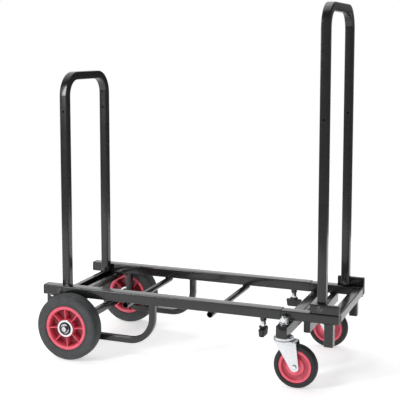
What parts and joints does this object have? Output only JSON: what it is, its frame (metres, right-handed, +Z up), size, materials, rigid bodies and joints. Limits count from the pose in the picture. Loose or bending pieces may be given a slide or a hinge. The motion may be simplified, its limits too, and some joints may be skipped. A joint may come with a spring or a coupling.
{
  "type": "convertible hand truck",
  "caption": "Telescoping platform cart that converts to a hand truck, with two folding U handles, large rear wheels, swivel casters and clamp knobs.",
  "frame": {"origin": "on the ground under the centre of the retracted cart", "axes": "+X from the rear wheels to the casters, +Y to the left side, +Z up"},
  "size_m": [0.938, 0.499, 1.08],
  "materials": {
    "powder_coat": "satin black powder coat",
    "black_plastic": "moulded, fine grain",
    "zinc": "bright zinc plating",
    "tyre_rubber": "matt dark grey rubber",
    "caster_rubber": "matt black rubber",
    "red_plastic": "moulded red plastic, semi-gloss",
    "dark_steel": "black-oxide steel"
  },
  "bodies": {
    "rear_frame": {"outer_rail_right": "powder_coat", "outer_rail_left": "powder_coat", "outer_rail_plug_right": "black_plastic", "outer_rail_plug_left": "black_plastic", "rear_cross_channel": "powder_coat", "crossbar_rear": "powder_coat", "crossbar_middle": "powder_coat", "axle_beam": "powder_coat", "wheel_axle": "zinc", "wheel_nut_right": "dark_steel", "wheel_nut_left": "dark_steel", "side_loop_right": "powder_coat", "side_loop_left": "powder_coat", "rear_gusset_right": "powder_coat", "rear_gusset_left": "powder_coat", "clamp_boss_right": "powder_coat", "clamp_boss_left": "powder_coat", "rear_pivot_bolt_right": "dark_steel", "rear_pivot_bolt_left": "dark_steel"},
    "front_frame": {"inner_rail_right": "powder_coat", "inner_rail_left": "powder_coat", "end_bar": "powder_coat", "lower_crossbar": "powder_coat", "caster_beam": "powder_coat", "handle_bracket_right": "powder_coat", "handle_bracket_left": "powder_coat", "foot_right": "powder_coat", "foot_left": "powder_coat", "kingpin_right": "zinc", "kingpin_left": "zinc", "stem_nut_right": "zinc", "stem_nut_left": "zinc", "front_pivot_bolt_right": "dark_steel", "front_pivot_bolt_left": "dark_steel"},
    "rear_handle": {"rear_handle_tube": "powder_coat", "rear_handle_plug_right": "black_plastic", "rear_handle_plug_left": "black_plastic"},
    "front_handle": {"front_handle_tube": "powder_coat", "front_handle_plug_right": "black_plastic", "front_handle_plug_left": "black_plastic"},
    "rear_wheel_right": {"wheel_right_tyre": "tyre_rubber", "wheel_right_rim": "red_plastic", "wheel_right_bearing": "black_plastic"},
    "caster_swivel_right": {"caster_fork_right": "zinc", "caster_axle_right": "zinc"},
    "caster_wheel_right": {"caster_tyre_right": "caster_rubber", "caster_rim_right": "red_plastic"},
    "clamp_right": {"clamp_knob_right": "black_plastic", "clamp_screw_right": "zinc"},
    "rear_wheel_left": {"wheel_left_tyre": "tyre_rubber", "wheel_left_rim": "red_plastic", "wheel_left_bearing": "black_plastic"},
    "caster_swivel_left": {"caster_fork_left": "zinc", "caster_axle_left": "zinc"},
    "caster_wheel_left": {"caster_tyre_left": "caster_rubber", "caster_rim_left": "red_plastic"},
    "clamp_left": {"clamp_knob_left": "black_plastic", "clamp_screw_left": "zinc"}
  },
  "joints": [
    {"name": "front_frame_slide", "type": "slide", "parent": "rear_frame", "child": "front_frame", "axis": [1, 0, 0], "range_m": [0, 0.33]},
    {"name": "rear_handle_fold", "type": "hinge", "parent": "rear_frame", "child": "rear_handle", "pos_m": [-0.4105, 0, 0.2], "axis": [0, 1, 0], "range_deg": [0, 90]},
    {"name": "front_handle_fold", "type": "hinge", "parent": "front_frame", "child": "front_handle", "pos_m": [0.415, 0, 0.2285], "axis": [0, 1, 0], "range_deg": [-70, 90]},
    {"name": "rear_wheel_right_spin", "type": "hinge", "parent": "rear_frame", "child": "rear_wheel_right", "pos_m": [-0.361, -0.212, 0.1016], "axis": [0, 1, 0], "continuous": true},
    {"name": "caster_swivel_right_turn", "type": "hinge", "parent": "front_frame", "child": "caster_swivel_right", "pos_m": [0.316, -0.193, 0.135], "axis": [0, 0, 1], "continuous": true},
    {"name": "caster_wheel_right_spin", "type": "hinge", "parent": "caster_swivel_right", "child": "caster_wheel_right", "pos_m": [0.352, -0.193, 0.0635], "axis": [0, 1, 0], "continuous": true},
    {"name": "clamp_right_turn", "type": "hinge", "parent": "rear_frame", "child": "clamp_right", "pos_m": [0.246, -0.163, 0.14], "axis": [0, 0, 1], "range_deg": [0, 180]},
    {"name": "rear_wheel_left_spin", "type": "hinge", "parent": "rear_frame", "child": "rear_wheel_left", "pos_m": [-0.361, 0.212, 0.1016], "axis": [0, 1, 0], "continuous": true},
    {"name": "caster_swivel_left_turn", "type": "hinge", "parent": "front_frame", "child": "caster_swivel_left", "pos_m": [0.316, 0.193, 0.135], "axis": [0, 0, 1], "continuous": true},
    {"name": "caster_wheel_left_spin", "type": "hinge", "parent": "caster_swivel_left", "child": "caster_wheel_left", "pos_m": [0.352, 0.193, 0.0635], "axis": [0, 1, 0], "continuous": true},
    {"name": "clamp_left_turn", "type": "hinge", "parent": "rear_frame", "child": "clamp_left", "pos_m": [0.246, 0.163, 0.14], "axis": [0, 0, 1], "range_deg": [0, 180]}
  ]
}
